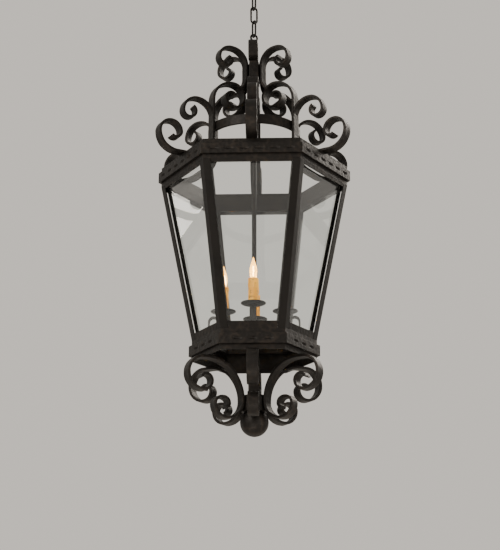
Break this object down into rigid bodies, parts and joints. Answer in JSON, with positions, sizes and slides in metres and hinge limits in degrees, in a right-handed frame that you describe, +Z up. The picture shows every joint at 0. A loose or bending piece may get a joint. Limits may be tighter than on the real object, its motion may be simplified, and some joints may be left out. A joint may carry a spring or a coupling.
{
  "type": "hanging lantern",
  "caption": "Six-sided wrought iron lantern hung on a chain, with tapering clear glass sides, forged scrolls above and below, a ball finial and candle lamps inside.",
  "frame": {"origin": "middle of the canopy's flat back, where it meets the ceiling", "axes": "+Z up out of the canopy's back, the lantern hanging along -Z; -Y to the front, square to one side of the cage"},
  "size_m": [0.5368, 0.5998, 1.3467],
  "materials": {
    "wrought_iron": "hammered wrought iron, oil-rubbed to a nearly black brown, with worn warm edges",
    "clear_glass": "clear flat pane with faint waviness",
    "candle_wax": "moulded candle sleeve in amber ivory with wax drips",
    "bulb_glass": "clear flame bulb, lit",
    "socket_brass": "plain brass lamp socket"
  },
  "bodies": {
    "ceiling": {"ceiling_canopy": "wrought_iron", "canopy_loop": "wrought_iron"},
    "link_1": {"chain_link_1": "wrought_iron"},
    "link_2": {"chain_link_2": "wrought_iron"},
    "link_3": {"chain_link_3": "wrought_iron"},
    "lantern": {"top_ring": "wrought_iron", "bottom_ring": "wrought_iron", "top_band": "wrought_iron", "bottom_band": "wrought_iron", "corner_post_1": "wrought_iron", "corner_post_2": "wrought_iron", "corner_post_3": "wrought_iron", "corner_post_4": "wrought_iron", "corner_post_5": "wrought_iron", "corner_post_6": "wrought_iron", "glass_pane_1": "clear_glass", "glass_pane_2": "clear_glass", "glass_pane_3": "clear_glass", "glass_pane_4": "clear_glass", "glass_pane_5": "clear_glass", "glass_pane_6": "clear_glass", "crown_ring": "wrought_iron", "stem": "wrought_iron", "crown_arm_1": "wrought_iron", "crown_arm_2": "wrought_iron", "crown_arm_3": "wrought_iron", "crown_arm_4": "wrought_iron", "crown_arm_5": "wrought_iron", "crown_arm_6": "wrought_iron", "crown_scroll_1": "wrought_iron", "crown_scroll_2": "wrought_iron", "crown_scroll_3": "wrought_iron", "crown_scroll_4": "wrought_iron", "crown_scroll_5": "wrought_iron", "crown_scroll_6": "wrought_iron", "stem_loop": "wrought_iron", "candle_spider": "wrought_iron", "drip_pan_right": "wrought_iron", "lamp_socket_right": "socket_brass", "candle_sleeve_right": "candle_wax", "drip_pan_back": "wrought_iron", "lamp_socket_back": "socket_brass", "candle_sleeve_back": "candle_wax", "drip_pan_left": "wrought_iron", "lamp_socket_left": "socket_brass", "candle_sleeve_left": "candle_wax", "drip_pan_front": "wrought_iron", "lamp_socket_front": "socket_brass", "candle_sleeve_front": "candle_wax", "lower_arm_1": "wrought_iron", "lower_arm_2": "wrought_iron", "lower_arm_3": "wrought_iron", "lower_arm_4": "wrought_iron", "lower_arm_5": "wrought_iron", "lower_arm_6": "wrought_iron", "finial": "wrought_iron"},
    "bulb_right": {"bulb_right": "bulb_glass"},
    "bulb_back": {"bulb_back": "bulb_glass"},
    "bulb_left": {"bulb_left": "bulb_glass"},
    "bulb_front": {"bulb_front": "bulb_glass"}
  },
  "joints": [
    {"name": "link_1_swing", "type": "hinge", "parent": "ceiling", "child": "link_1", "pos_m": [0, 0, -0.0533], "axis": [0.8829, 0.4695, 0], "range_deg": [-20, 20]},
    {"name": "link_2_swing", "type": "hinge", "parent": "link_1", "child": "link_2", "pos_m": [0, 0, -0.096], "axis": [-0.4695, 0.8829, 0], "range_deg": [-20, 20]},
    {"name": "link_3_swing", "type": "hinge", "parent": "link_2", "child": "link_3", "pos_m": [0, 0, -0.1387], "axis": [0.8829, 0.4695, 0], "range_deg": [-20, 20]},
    {"name": "lantern_swing", "type": "hinge", "parent": "link_3", "child": "lantern", "pos_m": [0, 0, -0.1814], "axis": [-0.4695, 0.8829, 0], "range_deg": [-15, 15]},
    {"name": "bulb_right_turn", "type": "hinge", "parent": "lantern", "child": "bulb_right", "pos_m": [0.084, 0, -0.93], "axis": [0, 0, 1], "continuous": true},
    {"name": "bulb_back_turn", "type": "hinge", "parent": "lantern", "child": "bulb_back", "pos_m": [0, 0.084, -0.93], "axis": [0, 0, 1], "continuous": true},
    {"name": "bulb_left_turn", "type": "hinge", "parent": "lantern", "child": "bulb_left", "pos_m": [-0.084, 0, -0.93], "axis": [0, 0, 1], "continuous": true},
    {"name": "bulb_front_turn", "type": "hinge", "parent": "lantern", "child": "bulb_front", "pos_m": [0, -0.084, -0.93], "axis": [0, 0, 1], "continuous": true}
  ]
}
